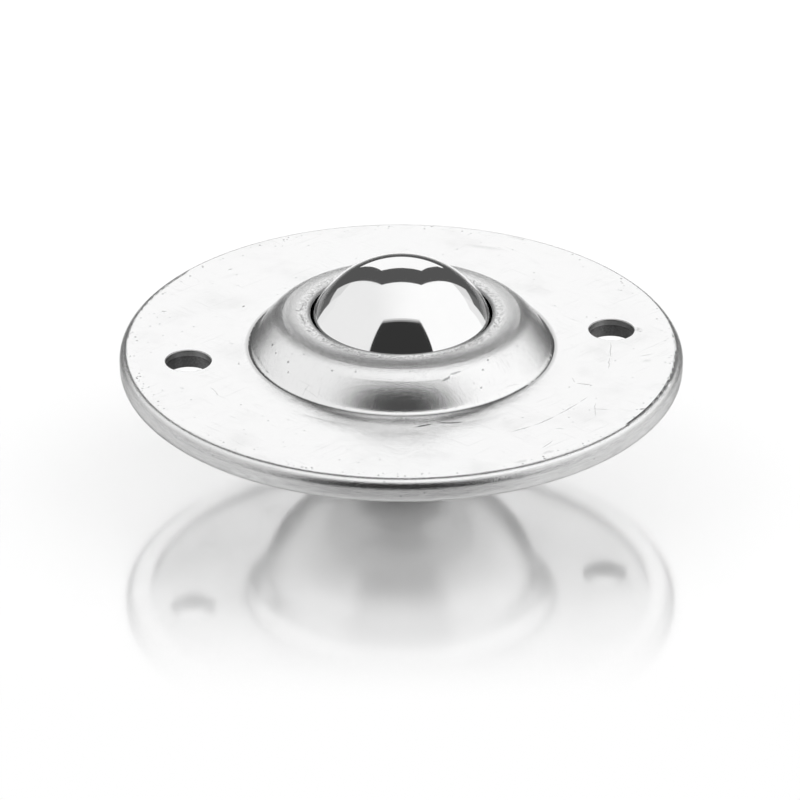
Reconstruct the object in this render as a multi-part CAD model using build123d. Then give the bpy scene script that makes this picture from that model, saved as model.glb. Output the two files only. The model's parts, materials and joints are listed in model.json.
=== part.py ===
from build123d import *
from math import acos, asin, ceil, cos, degrees, floor, radians, sin, sqrt
import os

# Flange ball transfer unit: a steel ball carried on small balls in a pressed housing.
# The origin is on the flange's top face, midway between the two fixing holes, with +Z up.
# All sizes are in millimetres and degrees.

# Balls
load_ball_diameter = 25.4
support_ball_diameter = 3.175
ball_centre_drop = 0.8
highest_row_angle = 80.0

# Sheet thicknesses
cap_sheet = 0.8
bowl_sheet = 1.6
cup_wall = 1.5

# Flange and fixing holes
flange_diameter = 73.0
hole_diameter = 5.8
hole_pitch = 55.6
hole_edge_radius = 0.2
hem_width = 3.2
hem_inner_radius = 0.4

# Raised collar of the cap: the crown runs inwards past the lip, and the ball's clearance trims it
collar_height = 4.92
crown_radius = 8.0
crown_angle = 18.0
lip_angle = 37.0
shoulder_radius = 4.4
shoulder_angle = 42.0
haunch_radius = 9.0
foot_radius = 1.1
foot_angle = 9.5
apron_radius = 16.0
lip_edge_radius = 0.2

# Bowl and hardened cup
bowl_mouth_radius = 3.0
bowl_flat_diameter = 7.0
cup_skirt = 2.62
cup_chamfer = 0.5

# Clearances
lip_clearance = 0.25
race_clearance = 0.05
ball_spacing = 0.03
row_spacing = 0.06
seat_clearance = 0.03

# Ball race, worked outwards from the load ball
load_ball_radius = load_ball_diameter / 2
support_ball_radius = support_ball_diameter / 2
ball_centre_z = -ball_centre_drop
race_radius = load_ball_radius + race_clearance + support_ball_radius
cup_inner_radius = race_radius + support_ball_radius + race_clearance
cup_outer_radius = cup_inner_radius + cup_wall
bowl_inner_radius = cup_outer_radius + seat_clearance
bowl_outer_radius = bowl_inner_radius + bowl_sheet
cup_corner_z = ball_centre_z + cup_skirt

# Flange layers, worked down from the top face
flange_radius = flange_diameter / 2
plate_top_z = -cap_sheet - seat_clearance
plate_bottom_z = plate_top_z - bowl_sheet
hem_top_z = plate_bottom_z - seat_clearance
hem_bottom_z = hem_top_z - cap_sheet
hem_outer_radius = hem_inner_radius + cap_sheet
plate_radius = flange_radius - cap_sheet - seat_clearance
plate_corner_radius = hem_inner_radius - seat_clearance


def revolved(profile):
    """Turns a half section, drawn as radius and height, about the Z axis."""
    return revolve(Plane.XZ * profile, axis=Axis.Z)


def fixing_holes():
    flange_thickness = -hem_bottom_z
    return PolarLocations(hole_pitch / 2, 2) * Cylinder(hole_diameter / 2, 2 * flange_thickness)


def haunch_centre():
    """Centre of the haunch's bend, set so that the haunch bears on the cup's outer corner."""
    crown_drop = crown_radius * (1 - cos(radians(crown_angle)))
    shoulder_drop = shoulder_radius * (cos(radians(crown_angle)) - cos(radians(shoulder_angle)))
    haunch_top_z = collar_height - crown_drop - shoulder_drop
    centre_z = haunch_top_z - haunch_radius * cos(radians(shoulder_angle))
    bearing_radius = haunch_radius - cap_sheet - seat_clearance
    centre_r = cup_outer_radius - sqrt(bearing_radius ** 2 - (cup_corner_z - centre_z) ** 2)
    return centre_r, centre_z


def collar_crown_radius():
    """Radius of the collar's highest line."""
    shoulder_reach = shoulder_radius * (sin(radians(shoulder_angle)) - sin(radians(crown_angle)))
    haunch_top_radius = haunch_centre()[0] + haunch_radius * sin(radians(shoulder_angle))
    return haunch_top_radius - shoulder_reach - crown_radius * sin(radians(crown_angle))


def flank_angle():
    """Slope at which the haunch runs into the foot, with the foot and the apron bent back to the flange."""
    apron_rise = apron_radius * (1 - cos(radians(foot_angle)))
    foot_centre_z = apron_rise + foot_radius * cos(radians(foot_angle))
    return degrees(acos((foot_centre_z - haunch_centre()[1]) / (haunch_radius + foot_radius)))


def cap_surface():
    """Upper line of the cap's sheet: lip, crown, shoulder, haunch, foot, apron, flange and hem."""
    start_r = collar_crown_radius() - crown_radius * sin(radians(lip_angle))
    start_z = collar_height - crown_radius * (1 - cos(radians(lip_angle)))
    rising = (cos(radians(lip_angle)), sin(radians(lip_angle)))
    crown = JernArc((start_r, start_z), rising, crown_radius, -(lip_angle + crown_angle))
    shoulder = JernArc(crown @ 1, crown % 1, shoulder_radius, crown_angle - shoulder_angle)
    haunch = JernArc(shoulder @ 1, shoulder % 1, haunch_radius, shoulder_angle - flank_angle())
    foot = JernArc(haunch @ 1, haunch % 1, foot_radius, flank_angle() - foot_angle)
    apron = JernArc(foot @ 1, foot % 1, apron_radius, foot_angle)
    face = Line(apron @ 1, (flange_radius - hem_outer_radius, 0))
    upper_bend = JernArc(face @ 1, (1, 0), hem_outer_radius, -90)
    edge = Line(upper_bend @ 1, (flange_radius, hem_bottom_z + hem_outer_radius))
    lower_bend = JernArc(edge @ 1, (0, -1), hem_outer_radius, -90)
    hem = Line(lower_bend @ 1, (flange_radius - hem_width, hem_bottom_z))
    return Wire([crown, shoulder, haunch, foot, apron, face, upper_bend, edge, lower_bend, hem])


def flange_cap():
    sheet = make_face(offset(cap_surface(), cap_sheet, side=Side.RIGHT))
    sheet -= Pos(0, ball_centre_z) * Circle(load_ball_radius + lip_clearance)
    sheet = fillet(sheet.vertices().sort_by(Axis.X)[0], lip_edge_radius)
    cap = revolved(sheet) - fixing_holes()
    hole_edges = cap.faces().sort_by(Axis.Z).filter_by(Axis.Z)[-1].inner_wires().edges()
    hole_edges = hole_edges.filter_by(lambda edge: edge.radius < hole_diameter)
    return fillet(hole_edges, hole_edge_radius)


def base_bowl():
    mouth_z = plate_bottom_z - bowl_mouth_radius
    mouth_drop = ball_centre_z - mouth_z
    mouth_r = sqrt((bowl_outer_radius + bowl_mouth_radius) ** 2 - mouth_drop ** 2)
    mouth_turn = 90 - degrees(asin(mouth_drop / (bowl_outer_radius + bowl_mouth_radius)))
    flat_r = bowl_flat_diameter / 2
    flat_angle = degrees(asin(flat_r / bowl_outer_radius))
    flat_z = ball_centre_z - bowl_outer_radius * cos(radians(flat_angle))
    mouth = (mouth_r, mouth_z)
    centre = (0, ball_centre_z)
    inside_bend = CenterArc(mouth, bowl_mouth_radius + bowl_sheet, 90, mouth_turn)
    inside = CenterArc(centre, bowl_inner_radius, 270, mouth_turn)
    outside = CenterArc(centre, bowl_outer_radius, 270 + flat_angle, mouth_turn - flat_angle)
    outside_bend = CenterArc(mouth, bowl_mouth_radius, 90, mouth_turn)
    outline = [
        Line((plate_radius, plate_top_z), inside_bend @ 0),
        inside_bend,
        inside,
        Line(inside @ 0, (0, flat_z)),
        Line((0, flat_z), (flat_r, flat_z)),
        outside,
        outside_bend,
        Line(outside_bend @ 0, (plate_radius, plate_bottom_z)),
        Line((plate_radius, plate_bottom_z), (plate_radius, plate_top_z)),
    ]
    section = make_face(outline)
    section = fillet(section.vertices().group_by(Axis.X)[-1], plate_corner_radius)
    return revolved(section) - fixing_holes()


def hardened_cup():
    rim_z = cup_corner_z + cup_chamfer
    centre = (0, ball_centre_z)
    inside = CenterArc(centre, cup_inner_radius, 270, 90)
    outside = CenterArc(centre, cup_outer_radius, 270, 90)
    rim = Polyline(
        inside @ 1,
        (cup_inner_radius, rim_z),
        (cup_outer_radius - cup_chamfer, rim_z),
        (cup_outer_radius, cup_corner_z),
        outside @ 1,
    )
    return revolved(make_face([inside, rim, outside, Line(outside @ 0, inside @ 0)]))


def load_ball():
    return Pos(0, 0, ball_centre_z) * Sphere(load_ball_radius)


def support_ball_row(angle, stagger):
    """One ring of loose balls, at an angle up from the lowest point of the race."""
    row_radius = race_radius * sin(radians(angle))
    row_z = ball_centre_z - race_radius * cos(radians(angle))
    count = 1
    if row_radius > support_ball_radius:
        step = 2 * degrees(asin((support_ball_diameter + ball_spacing) / (2 * row_radius)))
        count = floor(360 / step)
    start = stagger * 180 / count
    places = Pos(0, 0, row_z) * PolarLocations(row_radius, count, start_angle=start)
    return Compound(children=[place * Sphere(support_ball_radius) for place in places])


def support_ball_rows():
    row_step = degrees(asin((support_ball_diameter + row_spacing) / race_radius))
    return [support_ball_row(row * row_step, row % 2) for row in range(ceil(highest_row_angle / row_step))]


os.makedirs("parts", exist_ok=True)
export_step(flange_cap(), "parts/flange_cap.step")
export_step(base_bowl(), "parts/base_bowl.step")
export_step(hardened_cup(), "parts/hardened_cup.step")
export_step(load_ball(), "parts/load_ball.step")
for number, row in enumerate(support_ball_rows(), start=1):
    export_step(row, f"parts/support_balls_row_{number}.step")
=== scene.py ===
import json
from math import cos, radians, sin, tan

import bmesh
import bpy
from mathutils import Matrix, Quaternion, Vector


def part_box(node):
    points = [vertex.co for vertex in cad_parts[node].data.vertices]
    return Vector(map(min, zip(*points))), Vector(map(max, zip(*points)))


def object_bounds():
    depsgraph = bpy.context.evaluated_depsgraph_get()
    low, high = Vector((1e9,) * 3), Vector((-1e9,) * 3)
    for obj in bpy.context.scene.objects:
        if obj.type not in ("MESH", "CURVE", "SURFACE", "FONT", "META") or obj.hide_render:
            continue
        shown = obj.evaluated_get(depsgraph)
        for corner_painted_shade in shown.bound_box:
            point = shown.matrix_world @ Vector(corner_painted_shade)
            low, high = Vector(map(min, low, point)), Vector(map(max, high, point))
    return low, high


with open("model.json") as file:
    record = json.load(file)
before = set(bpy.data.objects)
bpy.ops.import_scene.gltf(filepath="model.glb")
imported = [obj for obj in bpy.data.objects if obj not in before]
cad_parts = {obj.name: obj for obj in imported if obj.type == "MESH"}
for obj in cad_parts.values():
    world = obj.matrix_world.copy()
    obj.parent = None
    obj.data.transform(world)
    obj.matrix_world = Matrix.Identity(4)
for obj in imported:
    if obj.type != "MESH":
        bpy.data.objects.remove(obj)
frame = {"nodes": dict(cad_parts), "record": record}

# Flange ball transfer unit: finishes of the pressed housing and its balls, the floor, the light and the camera.
# Lengths are in metres, as in the frame, or in millimetres where the name says so. Angles are in degrees.

cad_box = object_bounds()

# Sizes taken from the frame
METRES_TO_MM = 1000.0
fixing_holes = next(mount for mount in frame["record"]["mounts"] if mount["name"] == "fixing_holes")
hole_pitch_mm = fixing_holes["dims"]["spacing_x_mm"]
hole_radius_mm = fixing_holes["dims"]["hole_r_mm"]
ball_low, ball_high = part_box("load_ball")
ball_radius_mm = (ball_high.z - ball_low.z) / 2 * METRES_TO_MM
ball_centre_mm = (ball_low + ball_high) / 2 * METRES_TO_MM
flange_radius_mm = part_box("flange_cap")[1].x * METRES_TO_MM
floor_height = cad_box[0].z

# Camera, at the angle from which the object was photographed
CAMERA_AZIMUTH = -9.46
CAMERA_ELEVATION = 27.5
CAMERA_DISTANCE = 0.6010
CAMERA_ROLL = 0.18
CAMERA_LENS_MM = 208.7
CAMERA_NEAR = 0.01
CAMERA_FAR = 10.0
AIM_POINT = Vector((-0.00015, 0.0, -0.00807))

# Light tent: bright walls and roof, the left wall a little greyer
TENT_LEFT = 0.88
TENT_RIGHT = 1.04
TENT_FADE = (-0.6, 0.3)

# Flat flags inside the tent: round the camera at the front, round a window at the back and in the back corners
# Each has the way it lies, its left and right azimuths, its bottom and top elevations and its brightness
FLAG_DISTANCE = 1.2
FRONT = 180.0
BACK = 0.0
FLAG_FOOT = -0.9
FRONT_EDGE = 40.5
FRONT_TOP = 61.5
FRINGE_TOP = 63.5
FRONT_EDGE_TOP = 65.5
WINDOW_EDGE = 16.5
WINDOW_FOOT = 8.0
WINDOW_TOP = 39.0
BACK_EDGE = 35.5
BACK_TOP = 65.0
CORNER_EDGE = 47.0
CORNER_TOP = 14.0
WALL_EDGE = 58.0
SHADE_TOP = 30.0
FLAGS = {
    "front_flag": (FRONT, -FRONT_EDGE, FRONT_EDGE, FLAG_FOOT, FRONT_TOP, 0.035),
    "front_flag_fringe": (FRONT, -FRONT_EDGE, FRONT_EDGE, FRONT_TOP, FRINGE_TOP, 0.3),
    "front_flag_edge": (FRONT, -FRONT_EDGE, FRONT_EDGE, FRINGE_TOP, FRONT_EDGE_TOP, 0.65),
    "back_left_flag": (BACK, -BACK_EDGE, -WINDOW_EDGE, FLAG_FOOT, BACK_TOP, 0.09),
    "back_right_flag": (BACK, WINDOW_EDGE, BACK_EDGE, FLAG_FOOT, BACK_TOP, 0.09),
    "back_top_flag": (BACK, -WINDOW_EDGE, WINDOW_EDGE, WINDOW_TOP, BACK_TOP, 0.09),
    "back_bottom_flag": (BACK, -WINDOW_EDGE, WINDOW_EDGE, FLAG_FOOT, WINDOW_FOOT, 0.09),
    "back_window": (BACK, -WINDOW_EDGE, WINDOW_EDGE, WINDOW_FOOT, WINDOW_TOP, 1.02),
    "left_corner_flag": (BACK, -CORNER_EDGE, -BACK_EDGE, FLAG_FOOT, CORNER_TOP, 0.12),
    "left_corner_shade": (BACK, -CORNER_EDGE, -BACK_EDGE, CORNER_TOP, SHADE_TOP, 0.72),
    "left_wall_shade": (BACK, -WALL_EDGE, -CORNER_EDGE, FLAG_FOOT, SHADE_TOP, 0.85),
    "right_corner_flag": (BACK, BACK_EDGE, CORNER_EDGE, FLAG_FOOT, CORNER_TOP, 0.14),
    "right_corner_shade": (BACK, BACK_EDGE, CORNER_EDGE, CORNER_TOP, SHADE_TOP, 0.75),
    "right_wall_shade": (BACK, CORNER_EDGE, WALL_EDGE, FLAG_FOOT, SHADE_TOP, 0.85),
}

# Dark mat on the floor, from in front of the object to the front flag
MAT_START = 0.1
MAT_WIDTH = 2.0
MAT_LIFT = 0.0005
MAT_DARK = 0.055

# Floor: a glossy white sheet, lost in white towards the camera; the metal mirrors only a part of that fade
FLOOR_RADIUS = 2.0
FLOOR_SEGMENTS = 96
FLOOR_WHITE = 0.9
FLOOR_SEEN_WHITE = 1.55
FLOOR_GLOSS = 0.56
FLOOR_GLOSS_ROUGHNESS = 0.1
FLOOR_FADE_START_MM = 22.0
FLOOR_FADE_END_MM = 56.0
FLOOR_FADE_MIRRORED = 0.35
SCHLICK_POWER = 5.0


class Nodes:
    """A node tree, with short calls that add a node and join it to what feeds it."""

    def __init__(self, tree):
        self.tree = tree

    def add(self, kind, **settings):
        node = self.tree.nodes.new(kind)
        for name, value in settings.items():
            setattr(node, name, value)
        return node

    def feed(self, socket, value):
        """Joins a node's output to a socket, or sets a plain value on it."""
        if isinstance(value, bpy.types.NodeSocket):
            self.tree.links.new(value, socket)
        else:
            socket.default_value = value

    def math(self, operation, *values):
        node = self.add("ShaderNodeMath", operation=operation)
        for socket, value in zip(node.inputs, values):
            self.feed(socket, value)
        return node.outputs[0]

    def vector(self, operation, first, second=None, scale=None):
        node = self.add("ShaderNodeVectorMath", operation=operation)
        self.feed(node.inputs[0], first)
        if second is not None:
            self.feed(node.inputs[1], second)
        if scale is not None:
            self.feed(node.inputs["Scale"], scale)
        return node.outputs["Value" if operation in ("LENGTH", "DISTANCE") else "Vector"]

    def split(self, vector):
        node = self.add("ShaderNodeSeparateXYZ")
        self.feed(node.inputs[0], vector)
        return node.outputs

    def place(self, vector, location=(0, 0, 0), turn=0.0, size=(1, 1, 1)):
        """Coordinates centred on a place, turned about Z and measured in the given sizes."""
        node = self.add("ShaderNodeMapping", vector_type="TEXTURE")
        self.feed(node.inputs["Vector"], vector)
        node.inputs["Location"].default_value = location
        node.inputs["Rotation"].default_value = (0, 0, radians(turn))
        node.inputs["Scale"].default_value = size
        return node.outputs[0]

    def step(self, value, low, high, to_low=0.0, to_high=1.0):
        """A soft step from to_low to to_high as the value goes from low to high."""
        node = self.add("ShaderNodeMapRange", interpolation_type="SMOOTHSTEP")
        self.feed(node.inputs["Value"], value)
        node.inputs["From Min"].default_value = low
        node.inputs["From Max"].default_value = high
        node.inputs["To Min"].default_value = to_low
        node.inputs["To Max"].default_value = to_high
        return node.outputs[0]

    def band(self, value, start, end, level=1.0):
        """The level between two soft steps, and nothing outside them."""
        return self.math("MULTIPLY", self.step(value, *start), self.step(value, *end, level, 0.0))

    def noise(self, vector, size=1.0, detail=2.0, roughness=0.5):
        """Soft noise whose lumps are about as wide as size, in the vector's own unit."""
        node = self.add("ShaderNodeTexNoise", noise_dimensions="3D")
        self.feed(node.inputs["Vector"], vector)
        node.inputs["Scale"].default_value = 1.0 / size
        node.inputs["Detail"].default_value = detail
        node.inputs["Roughness"].default_value = roughness
        return node.outputs

    def blend(self, amount, first, second):
        node = self.add("ShaderNodeMix", data_type="RGBA", clamp_factor=True)
        self.feed(node.inputs["Factor"], amount)
        self.feed(node.inputs["A"], first)
        self.feed(node.inputs["B"], second)
        return node.outputs["Result"]

    def shade(self, amount, levels):
        """A grey from the first level to the second."""
        return self.blend(amount, grey(levels[0]), grey(levels[1]))

    def mix_shader(self, amount, first, second):
        node = self.add("ShaderNodeMixShader")
        self.feed(node.inputs[0], amount)
        self.feed(node.inputs[1], first.outputs[0])
        self.feed(node.inputs[2], second.outputs[0])
        return node

    def bump(self, height, depth, normal=None):
        """A relief of the given depth in metres, where height goes from 0 to 1."""
        node = self.add("ShaderNodeBump")
        node.inputs["Strength"].default_value = 1.0
        node.inputs["Distance"].default_value = depth
        self.feed(node.inputs["Height"], height)
        if normal is not None:
            self.feed(node.inputs["Normal"], normal)
        return node.outputs[0]


def grey(level):
    return (level, level, level, 1.0)


class Finish(Nodes):
    """A metal finish: the material, its shader and its place in millimetres."""

    def __init__(self, name):
        self.material = bpy.data.materials.new(name)
        self.material.use_nodes = True
        super().__init__(self.material.node_tree)
        self.shader = self.tree.nodes["Principled BSDF"]
        self.shader.inputs["Metallic"].default_value = 1.0
        place = self.add("ShaderNodeTexCoord").outputs["Object"]
        self.place_mm = self.vector("SCALE", place, scale=METRES_TO_MM)

    def set(self, name, value):
        self.feed(self.shader.inputs[name], value)


# Scratches on the cap, seen from above: radius and clock angle of the middle, length, heading, width, darkness
SCRATCHES = {
    "front_left": (22.1, -92, 2.9, 12, 0.36, 0.95),
    "front_right": (22.0, -83, 3.8, -2, 0.34, 0.9),
    "long_arc_start": (27.2, -66, 3.6, 20, 0.2, 0.4),
    "long_arc_second": (27.3, -58, 4.2, 32, 0.2, 0.5),
    "long_arc_third": (27.3, -49, 4.8, 40, 0.2, 0.45),
    "long_arc_end": (27.5, -42, 1.8, 45, 0.2, 0.3),
    "hook_shank": (24.0, -33, 1.7, -80, 0.2, 0.3),
    "hook_tip": (25.7, -34, 2.3, -22, 0.25, 0.45),
    "cross_upright": (30.1, -45, 4.0, -102, 0.2, 0.3),
    "cross_bar": (30.6, -44, 2.4, -9, 0.2, 0.3),
    "short_dash": (30.1, -58, 1.3, -19, 0.2, 0.3),
    "near_edge": (32.3, -65, 2.6, 47, 0.2, 0.4),
    "edge_tick": (35.0, -39, 0.9, 10, 0.35, 0.8),
    "below_hole_upper": (27.1, -12, 4.2, -102, 0.18, 0.4),
    "below_hole_lower": (27.2, -20, 3.4, -105, 0.18, 0.35),
    "beside_hole": (31.8, -14, 2.3, 13, 0.2, 0.3),
    "left_dash": (32.5, 154, 0.9, -9, 0.3, 0.5),
    "left_dots": (27.0, -161, 2.9, -75, 0.2, 0.3),
    "back_dash": (31.6, 127, 0.8, 20, 0.3, 0.4),
    "lip_fork_stem": (13.4, 170, 1.0, -39, 0.3, 0.6),
    "lip_fork_arm": (12.9, 166, 2.3, 69, 0.25, 0.6),
    "lip_scuff": (12.9, -179, 3.8, -86, 0.35, 0.6),
    "lip_scuff_end": (13.1, -164, 1.1, -56, 0.35, 0.5),
    "flank_start": (17.0, -80, 1.5, 27, 0.3, 0.6),
    "flank_end": (16.6, -75, 2.0, 21, 0.3, 0.6),
}

# Specks on the cap: radius, clock angle, length, darkness
SPECKS = {
    "left_back_flange": (23.4, 143, 0.6, 0.8),
    "left_foot": (21.6, -175, 0.5, 0.5),
    "left_edge": (35.1, -174, 0.6, 0.8),
    "left_edge_second": (34.6, -171, 0.4, 0.5),
    "left_edge_third": (35.1, 176, 0.4, 0.4),
    "front_flange": (24.0, -112, 0.4, 0.5),
    "front_flange_second": (24.7, -104, 0.4, 0.5),
    "front_flange_third": (26.2, -127, 0.4, 0.4),
    "front_edge": (32.0, -109, 0.4, 0.4),
    "front_edge_second": (34.9, -120, 0.5, 0.5),
    "front_edge_third": (34.9, -123, 0.4, 0.4),
    "right_flange": (26.5, -34, 0.4, 0.4),
    "flank_far_left": (17.5, -170, 0.5, 0.6),
    "flank_left": (17.8, -164, 0.4, 0.5),
    "flank_left_low": (17.7, -154, 0.5, 0.6),
    "flank_left_foot": (18.3, -151, 0.4, 0.5),
    "flank_left_high": (16.3, -149, 0.4, 0.5),
    "flank_front_left": (16.8, -131, 0.5, 0.5),
    "flank_front": (16.3, -120, 0.4, 0.4),
    "flank_right": (16.3, -57, 0.5, 0.5),
    "flank_right_low": (17.0, -62, 0.5, 0.5),
    "flank_right_foot": (18.4, -66, 0.4, 0.5),
}

# Soft smears on the cap, written as the scratches are; the last three, in front of the collar's foot, are
# painted shade that stands in for the collar's dark reflection there
SMEARS_AND_FOOT_SHADE = {
    "beside_right_hole": (31.2, -1, 1.8, -70, 1.3, 0.4),
    "below_right_hole": (31.9, -17, 1.6, 10, 1.0, 0.2),
    "back": (30.8, 59, 6.6, -25, 1.2, 0.22),
    "back_edge": (35.1, 54, 3.5, -36, 0.8, 0.25),
    "front_edge_left": (34.4, -74, 2.2, 16, 0.9, 0.3),
    "front_edge_right": (34.0, -67, 2.0, 23, 0.9, 0.3),
    "left": (30.4, -166, 1.0, -76, 0.6, 0.25),
    "painted_shade_foot_left": (20.6, -117, 8.0, -27, 2.4, 0.36),
    "painted_shade_foot_front": (20.6, -99, 9.0, -9, 2.6, 0.5),
    "painted_shade_foot_right": (20.6, -81, 8.0, 9, 2.4, 0.4),
}

# How sharply a mark ends
SCRATCH_HARDNESS = 2.5
SPECK_HARDNESS = 2.0
SMEAR_AND_SHADE_HARDNESS = 1.0

# Areas of the cap: the distances from the axis over which each one fades in or out
LIP_END_MM = (12.6, 13.9)
CROWN_START_MM = (13.2, 13.8)
CROWN_END_MM = (14.5, 15.2)
COLLAR_END_MM = (19.0, 20.0)
CORNER_START_MM = (19.4, 19.8)
CORNER_END_MM = (19.95, 20.4)
EDGE_START_MM = (33.9, 34.6)
EDGE_END_MM = (35.2, 35.5)
HEM_START_MM = (35.3, 35.8)
RIM_START_MM = (flange_radius_mm - 0.6, flange_radius_mm - 0.15)

# The lip's edge next to the ball, where shade is painted, from the ball's centre, and the wall of a hole, from
# the hole's axis
LIP_EDGE_END_MM = (ball_radius_mm + 0.55, ball_radius_mm + 0.95)
CUT_END_MM = (hole_radius_mm + 0.03, hole_radius_mm + 0.15)

# Noises in the finishes: the width of their lumps, or the levels at which they show
WANDER_MM = 1.6
WANDER_REACH_MM = 0.5
BROKEN_MM = 0.4
BROKEN_LEVELS = (0.36, 0.5)
PATCH_MM = 5.0
PATCH_LEVELS = (0.4, 0.57)
WORN_MM = 0.3
WORN_LEVELS = (0.38, 0.56)
PEEL_MM = 1.3
STRETCH_MM = 0.13
SMUDGE_MM = 9.0
HAZE_LEVELS = (0.3, 0.7)
HAIRLINE_LEVELS = (0.73, 0.79)

# Hairlines: heading, length and width; pits and nicks: spacing and radius
HAIRLINES_MM = ((32, 7.0, 0.12), (-51, 5.0, 0.12))
CAP_PITS_MM = (1.5, 0.18)
CAP_NICKS_MM = (0.7, 0.2)
BOWL_PITS_MM = (1.5, 0.2)

# Darkness of the marks on the cap, and of the painted shade at the lip's edge, on the crown and in the crease
# at the collar's foot
BROKEN_LEAST = 0.5
LIP_EDGE_PAINTED_SHADE = 0.7
CROWN_PAINTED_SHADE = 0.16
CORNER_PAINTED_SHADE = 0.36
NICK_DARKNESS = 0.8
HAIRLINE_DARKNESS = 0.12
PIT_DARKNESS = 0.4
WORN_DARKNESS = 0.42

# Zinc plate of the cap; it scatters a little light, and is duller where the sheet was drawn
CAP_METALLIC = 0.95
CAP_GREYS = (0.95, 0.88)
CAP_RIM_GREYS = (0.47, 0.74)
CAP_CUT_GREYS = (0.2, 0.42)
CAP_DIRT_AND_SHADE_GREY = 0.1
CAP_SMUDGE_LEVELS = (0.5, 0.8)
CAP_ROUGHNESS = (0.13, 0.16)
COLLAR_ROUGHNESS = 0.22
HEM_ROUGHNESS = 0.19
CAP_CUT_ROUGHNESS = 0.42
CAP_GRAIN_MM = 0.14
RIM_STREAKS_MM = (1.6, 1.6, 0.14)
CAP_PEEL_DEPTH = 0.000014
CAP_GRAIN_DEPTH = 0.000010
STRETCH_DEPTH = 0.000032
RIM_STREAK_DEPTH = 0.000012
WORN_DEPTH = -0.000008

# Zinc plate of the bowl
BOWL_GREYS = (0.84, 0.74)
BOWL_PIT_GREY = 0.3
BOWL_CUT_GREYS = (0.06, 0.22)
BOWL_SMUDGE_LEVELS = (0.4, 0.8)
BOWL_ROUGHNESS = (0.27, 0.34)
BOWL_CUT_ROUGHNESS = 0.45
BOWL_GRAIN_MM = 0.22
BOWL_STREAKS_MM = (2.5, 2.5, 0.2)
BOWL_PEEL_DEPTH = 0.000020
BOWL_STREAK_DEPTH = 0.000010
BOWL_GRAIN_DEPTH = 0.000010

# Steel of the cup and the balls
CUP_STAIN_MM = 4.0
CUP_GREYS = (0.5, 0.36)
CUP_ROUGHNESS = (0.25, 0.36)
CUP_GRAIN_MM = 0.3
CUP_GRAIN_DEPTH = 0.000004
LOAD_BALL_HAZE_MM = 3.0
LOAD_BALL_GREYS = (0.95, 0.92)
LOAD_BALL_ROUGHNESS = (0.04, 0.07)
SUPPORT_BALL_HAZE_MM = 0.8
SUPPORT_BALL_GREYS = (0.82, 0.74)
SUPPORT_BALL_ROUGHNESS = (0.08, 0.14)


def hole_wall(finish):
    """1 on the cut walls of the two fixing holes."""
    from_hole = finish.vector("SUBTRACT", finish.vector("ABSOLUTE", finish.place_mm), (hole_pitch_mm / 2, 0, 0))
    distance_mm = finish.vector("LENGTH", finish.vector("MULTIPLY", from_hole, (1, 1, 0)))
    return finish.step(distance_mm, *CUT_END_MM, 1.0, 0.0)


def mark(finish, place_mm, spot, hardness):
    """Darkness of one mark on the cap, an ellipse that fades out at its edge."""
    radius, clock, length, heading, width, darkness = spot
    middle = (radius * cos(radians(clock)), radius * sin(radians(clock)), 0.0)
    across = (length / 2, width / 2, flange_radius_mm)
    falloff = finish.add("ShaderNodeTexGradient", gradient_type="SPHERICAL")
    finish.feed(falloff.inputs[0], finish.place(place_mm, middle, heading, across))
    depth = finish.math("MULTIPLY", falloff.outputs[1], hardness * darkness)
    return finish.math("MINIMUM", depth, darkness)


def speck(radius, clock, length, darkness):
    """A speck written as a scratch is: it lies along the rim and is half as wide as long."""
    return radius, clock, length, clock + 90, length / 2, darkness


def darkest(finish, layers):
    total = layers[0]
    for layer in layers[1:]:
        total = finish.math("MAXIMUM", total, layer)
    return total


def marks(finish, place_mm, spots, hardness):
    return darkest(finish, [mark(finish, place_mm, spot, hardness) for spot in spots])


def hairlines(finish, place_mm, heading, length, width):
    """Faint straight scratches that run one way."""
    streak = finish.noise(finish.place(place_mm, turn=heading, size=(length, width, 1.0)), detail=0.0)[0]
    return finish.step(streak, *HAIRLINE_LEVELS)


def pits(finish, place_mm, spacing, radius):
    """Small scattered pits, some deeper than others."""
    cells = finish.add("ShaderNodeTexVoronoi")
    finish.feed(cells.inputs["Vector"], place_mm)
    cells.inputs["Scale"].default_value = 1.0 / spacing
    hollow = finish.step(cells.outputs["Distance"], radius / spacing / 2, radius / spacing, 1.0, 0.0)
    return finish.math("MULTIPLY", hollow, finish.split(cells.outputs["Color"])[0])


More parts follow.
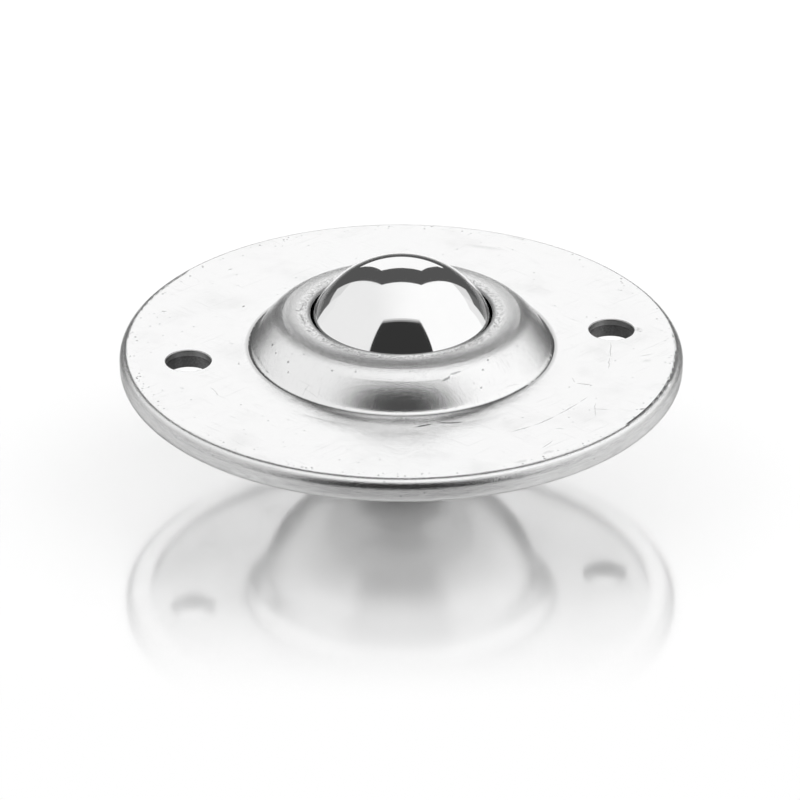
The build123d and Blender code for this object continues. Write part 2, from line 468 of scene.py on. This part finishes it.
def cap_darkness(finish, radius_mm, worn):
    """Darkness of all the marks, dirt and wear on the cap, and of the shade painted at the lip's edge, on the
    crown, in the foot's crease and in front of the foot.
    """
    place = finish.place_mm
    ball_mm = finish.vector("DISTANCE", place, ball_centre_mm)
    # Painted shade on the lip's edge, in the gap next to the ball
    lip_edge_painted_shade = finish.step(ball_mm, *LIP_EDGE_END_MM, LIP_EDGE_PAINTED_SHADE, 0.0)
    # Painted shade on the crown ring, standing in for the dark reflection there
    crown_painted_shade = finish.band(radius_mm, CROWN_START_MM, CROWN_END_MM, CROWN_PAINTED_SHADE)
    # Painted shade in the crease round the collar's foot
    corner_painted_shade = finish.band(radius_mm, CORNER_START_MM, CORNER_END_MM, CORNER_PAINTED_SHADE)
    edge = finish.band(radius_mm, EDGE_START_MM, EDGE_END_MM, NICK_DARKNESS)

    wander = finish.vector("SUBTRACT", finish.noise(place, WANDER_MM)[1], (0.5, 0.5, 0.5))
    wander_mm = finish.vector("ADD", place, finish.vector("SCALE", wander, scale=WANDER_REACH_MM))
    broken = finish.step(finish.noise(place, BROKEN_MM, detail=1.0)[0], *BROKEN_LEVELS, BROKEN_LEAST, 1.0)
    patchy = finish.step(finish.noise(place, PATCH_MM)[0], *PATCH_LEVELS)

    scratched = marks(finish, wander_mm, SCRATCHES.values(), SCRATCH_HARDNESS)
    scratched = finish.math("MULTIPLY", scratched, broken)
    specks = [speck(*spot) for spot in SPECKS.values()]
    specked = marks(finish, wander_mm, specks, SPECK_HARDNESS)
    # The smears include the painted shade in front of the collar's foot
    smeared_and_shaded = marks(finish, wander_mm, SMEARS_AND_FOOT_SHADE.values(), SMEAR_AND_SHADE_HARDNESS)
    smeared_and_shaded = finish.math("MULTIPLY", smeared_and_shaded, broken)
    lines = darkest(finish, [hairlines(finish, wander_mm, *line) for line in HAIRLINES_MM])
    lines = finish.math("MULTIPLY", lines, HAIRLINE_DARKNESS)
    pitted = finish.math("MULTIPLY", pits(finish, place, *CAP_PITS_MM), PIT_DARKNESS)
    nicked = finish.math("MULTIPLY", pits(finish, place, *CAP_NICKS_MM), finish.math("MULTIPLY", edge, patchy))
    return darkest(finish, [scratched, specked, smeared_and_shaded, lines, pitted, nicked, worn, lip_edge_painted_shade, corner_painted_shade, crown_painted_shade])


def zinc_plated_cap():
    finish = Finish("zinc_plated_cap")
    finish.set("Metallic", CAP_METALLIC)
    place = finish.place_mm
    radius_mm = finish.vector("LENGTH", finish.vector("MULTIPLY", place, (1, 1, 0)))
    cut_edge = hole_wall(finish)
    lip = finish.step(radius_mm, *LIP_END_MM, 1.0, 0.0)
    collar = finish.step(radius_mm, *COLLAR_END_MM, 1.0, 0.0)
    hem = finish.step(radius_mm, *HEM_START_MM)
    rim = finish.step(radius_mm, *RIM_START_MM)
    drawn = finish.math("MAXIMUM", collar, hem)
    worn = finish.step(finish.noise(place, WORN_MM, roughness=0.6)[0], *WORN_LEVELS, WORN_DARKNESS, 0.0)
    worn = finish.math("MULTIPLY", worn, lip)
    dark = cap_darkness(finish, radius_mm, worn)

    grain = finish.noise(place, CAP_GRAIN_MM, detail=1.0)[0]
    peel = finish.noise(place, PEEL_MM)[0]
    stretch = finish.math("MULTIPLY", finish.noise(place, STRETCH_MM)[0], drawn)
    streaks = finish.noise(finish.place(place, size=RIM_STREAKS_MM), detail=1.0)[0]
    smudge = finish.step(finish.noise(place, SMUDGE_MM, detail=3.0)[0], *CAP_SMUDGE_LEVELS)
    colour = finish.shade(smudge, CAP_GREYS)
    colour = finish.blend(rim, colour, finish.shade(streaks, CAP_RIM_GREYS))
    # Marks, dirt and wear, and the painted shade, all darken towards this grey
    colour = finish.blend(dark, colour, grey(CAP_DIRT_AND_SHADE_GREY))
    colour = finish.blend(cut_edge, colour, finish.shade(grain, CAP_CUT_GREYS))
    finish.set("Base Color", colour)

    roughness = finish.step(smudge, 0.0, 1.0, *CAP_ROUGHNESS)
    roughness = finish.math("MAXIMUM", roughness, finish.math("MULTIPLY", collar, COLLAR_ROUGHNESS))
    roughness = finish.math("MAXIMUM", roughness, finish.math("MULTIPLY", hem, HEM_ROUGHNESS))
    roughness = finish.math("MAXIMUM", roughness, finish.math("MULTIPLY", cut_edge, CAP_CUT_ROUGHNESS))
    finish.set("Roughness", roughness)

    relief = finish.bump(peel, CAP_PEEL_DEPTH)
    relief = finish.bump(grain, CAP_GRAIN_DEPTH, relief)
    relief = finish.bump(stretch, STRETCH_DEPTH, relief)
    relief = finish.bump(finish.math("MULTIPLY", streaks, rim), RIM_STREAK_DEPTH, relief)
    relief = finish.bump(worn, WORN_DEPTH, relief)
    finish.set("Normal", relief)
    return finish.material


def zinc_plated_bowl():
    finish = Finish("zinc_plated_bowl")
    place = finish.place_mm
    cut_edge = hole_wall(finish)
    grain = finish.noise(place, BOWL_GRAIN_MM, detail=1.0)[0]
    peel = finish.noise(place, PEEL_MM)[0]
    smudge = finish.step(finish.noise(place, SMUDGE_MM, detail=3.0)[0], *BOWL_SMUDGE_LEVELS)
    streaks = finish.noise(finish.place(place, size=BOWL_STREAKS_MM), detail=1.0)[0]
    colour = finish.shade(smudge, BOWL_GREYS)
    colour = finish.blend(pits(finish, place, *BOWL_PITS_MM), colour, grey(BOWL_PIT_GREY))
    colour = finish.blend(cut_edge, colour, finish.shade(grain, BOWL_CUT_GREYS))
    finish.set("Base Color", colour)
    roughness = finish.step(smudge, 0.0, 1.0, *BOWL_ROUGHNESS)
    roughness = finish.math("MAXIMUM", roughness, finish.math("MULTIPLY", cut_edge, BOWL_CUT_ROUGHNESS))
    finish.set("Roughness", roughness)
    relief = finish.bump(peel, BOWL_PEEL_DEPTH)
    relief = finish.bump(streaks, BOWL_STREAK_DEPTH, relief)
    finish.set("Normal", finish.bump(grain, BOWL_GRAIN_DEPTH, relief))
    return finish.material


def hardened_steel():
    finish = Finish("hardened_steel")
    place = finish.place_mm
    stain = finish.noise(place, CUP_STAIN_MM, detail=3.0)[0]
    finish.set("Base Color", finish.shade(stain, CUP_GREYS))
    finish.set("Roughness", finish.step(stain, *HAZE_LEVELS, *CUP_ROUGHNESS))
    finish.set("Normal", finish.bump(finish.noise(place, CUP_GRAIN_MM)[0], CUP_GRAIN_DEPTH))
    return finish.material


def ball_steel(name, haze_mm, greys, roughness):
    """Polished steel under a faint haze."""
    finish = Finish(name)
    haze = finish.noise(finish.place_mm, haze_mm, detail=3.0)[0]
    finish.set("Base Color", finish.shade(haze, greys))
    finish.set("Roughness", finish.step(haze, *HAZE_LEVELS, *roughness))
    return finish.material


def finish_nodes():
    """Gives each solid the finish of the record's material slot."""
    finishes = {
        "zinc_plated_cap": zinc_plated_cap(),
        "zinc_plated_bowl": zinc_plated_bowl(),
        "hardened_steel": hardened_steel(),
        "polished_ball": ball_steel("polished_ball", LOAD_BALL_HAZE_MM, LOAD_BALL_GREYS, LOAD_BALL_ROUGHNESS),
        "support_ball_steel": ball_steel(
            "support_ball_steel", SUPPORT_BALL_HAZE_MM, SUPPORT_BALL_GREYS, SUPPORT_BALL_ROUGHNESS
        ),
    }
    for subpart in frame["record"]["subparts"]:
        solid = frame["nodes"][subpart["node"]]
        solid.material_slots[0].material = finishes[subpart["material_slot"]]


def stage_piece(name, form, material):
    """A piece of the studio, which is no part of the object."""
    mesh = bpy.data.meshes.new(name)
    form.to_mesh(mesh)
    form.free()
    mesh.materials.append(material)
    piece = bpy.data.objects.new(name, mesh)
    bpy.context.scene.collection.objects.link(piece)
    return piece


def glossy_white():
    """White sheet whose gloss rises towards grazing view."""
    material = bpy.data.materials.new("glossy_white")
    material.use_nodes = True
    nodes = Nodes(material.node_tree)
    nodes.tree.nodes.clear()

    # What the camera sees, straight or in metal or glass, as against light that falls on the object
    path = nodes.add("ShaderNodeLightPath").outputs
    seen = nodes.math("MAXIMUM", path["Is Camera Ray"], path["Is Glossy Ray"])
    seen = nodes.math("MAXIMUM", seen, path["Is Transmission Ray"])

    white = nodes.add("ShaderNodeBsdfDiffuse")
    nodes.feed(white.inputs["Color"], nodes.shade(seen, (FLOOR_WHITE, FLOOR_SEEN_WHITE)))
    gloss = nodes.add("ShaderNodeBsdfGlossy")
    gloss.inputs["Color"].default_value = grey(1.0)
    gloss.inputs["Roughness"].default_value = FLOOR_GLOSS_ROUGHNESS
    slant = nodes.add("ShaderNodeLayerWeight").outputs["Facing"]
    grazing = nodes.math("POWER", slant, SCHLICK_POWER)
    mirrored = nodes.math("MULTIPLY_ADD", grazing, 1 - FLOOR_GLOSS, FLOOR_GLOSS)
    sheet_surface = nodes.mix_shader(mirrored, white, gloss)

    place_mm = nodes.vector("SCALE", nodes.add("ShaderNodeTexCoord").outputs["Object"], scale=METRES_TO_MM)
    depth_mm = nodes.split(nodes.place(place_mm, turn=CAMERA_AZIMUTH))[1]
    fade = nodes.step(depth_mm, -FLOOR_FADE_END_MM, -FLOOR_FADE_START_MM, 1.0, 0.0)
    faded = nodes.math("MAXIMUM", path["Is Camera Ray"], nodes.math("MULTIPLY", seen, FLOOR_FADE_MIRRORED))
    background = nodes.add("ShaderNodeEmission")
    background.inputs["Color"].default_value = grey(1.0)
    surface = nodes.mix_shader(nodes.math("MULTIPLY", fade, faded), sheet_surface, background)
    output = nodes.add("ShaderNodeOutputMaterial")
    nodes.feed(output.inputs["Surface"], surface.outputs[0])
    return material


def floor():
    form = bmesh.new()
    bmesh.ops.create_circle(form, cap_ends=True, segments=FLOOR_SEGMENTS, radius=FLOOR_RADIUS)
    bmesh.ops.translate(form, verts=form.verts, vec=(0, 0, floor_height))
    stage_piece("floor", form, glossy_white())


def dull(name, level):
    """Cloth that gives back the same light from everywhere."""
    material = bpy.data.materials.new(name)
    material.use_nodes = True
    nodes = Nodes(material.node_tree)
    nodes.tree.nodes.clear()
    cloth = nodes.add("ShaderNodeEmission")
    cloth.inputs["Color"].default_value = grey(level)
    output = nodes.add("ShaderNodeOutputMaterial")
    nodes.feed(output.inputs["Surface"], cloth.outputs[0])
    return material


def sheet(name, width, length, place, level):
    """A flat sheet of cloth, out of the camera's sight, made from a square of unit side."""
    form = bmesh.new()
    bmesh.ops.create_grid(form, x_segments=1, y_segments=1, size=0.5)
    bmesh.ops.scale(form, verts=form.verts, vec=(width, length, 1))
    turn = Matrix.Rotation(radians(CAMERA_AZIMUTH), 4, "Z")
    bmesh.ops.transform(form, verts=form.verts, matrix=turn @ place)
    stage_piece(name, form, dull(name, level)).visible_camera = False


def flag(name, lies, left, right, bottom, top, level):
    """An upright sheet that faces the object."""
    left, right, bottom, top = (FLAG_DISTANCE * tan(radians(angle)) for angle in (left, right, bottom, top))
    upright = Matrix.Rotation(radians(lies), 4, "Z") @ Matrix.Rotation(radians(90), 4, "X")
    middle = Matrix.Translation(((left + right) / 2, (bottom + top) / 2, -FLAG_DISTANCE))
    sheet(name, right - left, top - bottom, upright @ middle, level)


def mat():
    middle = (0, -(MAT_START + FLAG_DISTANCE) / 2, floor_height + MAT_LIFT)
    sheet("front_mat", MAT_WIDTH, FLAG_DISTANCE - MAT_START, Matrix.Translation(middle), MAT_DARK)


def light_tent():
    """An even tent of light round the object, with the flags and the mat inside it."""
    world = bpy.data.worlds.new("light_tent")
    world.use_nodes = True
    bpy.context.scene.world = world
    nodes = Nodes(world.node_tree)
    nodes.tree.nodes.clear()
    around = nodes.add("ShaderNodeTexCoord").outputs["Generated"]
    across = nodes.split(nodes.place(around, turn=CAMERA_AZIMUTH))[0]
    light = nodes.add("ShaderNodeBackground")
    rightwards = nodes.step(across, *TENT_FADE)
    nodes.feed(light.inputs["Color"], nodes.shade(rightwards, (TENT_LEFT, TENT_RIGHT)))
    output = nodes.add("ShaderNodeOutputWorld")
    nodes.feed(output.inputs["Surface"], light.outputs[0])
    for name, shape in FLAGS.items():
        flag(name, *shape)
    mat()


def camera():
    data = bpy.data.cameras.new("camera")
    data.lens = CAMERA_LENS_MM
    data.clip_start = CAMERA_NEAR
    data.clip_end = CAMERA_FAR
    holder = bpy.data.objects.new("camera", data)
    bpy.context.scene.collection.objects.link(holder)
    azimuth, elevation = radians(CAMERA_AZIMUTH), radians(CAMERA_ELEVATION)
    back = Vector((sin(azimuth) * cos(elevation), -cos(azimuth) * cos(elevation), sin(elevation)))
    holder.location = back * CAMERA_DISTANCE
    holder.rotation_mode = "QUATERNION"
    aim = (AIM_POINT - holder.location).to_track_quat("-Z", "Y")
    holder.rotation_quaternion = aim @ Quaternion((0, 0, 1), radians(CAMERA_ROLL))
    bpy.context.scene.camera = holder


finish_nodes()
floor()
light_tent()
camera()
bpy.context.scene.view_settings.view_transform = "Standard"
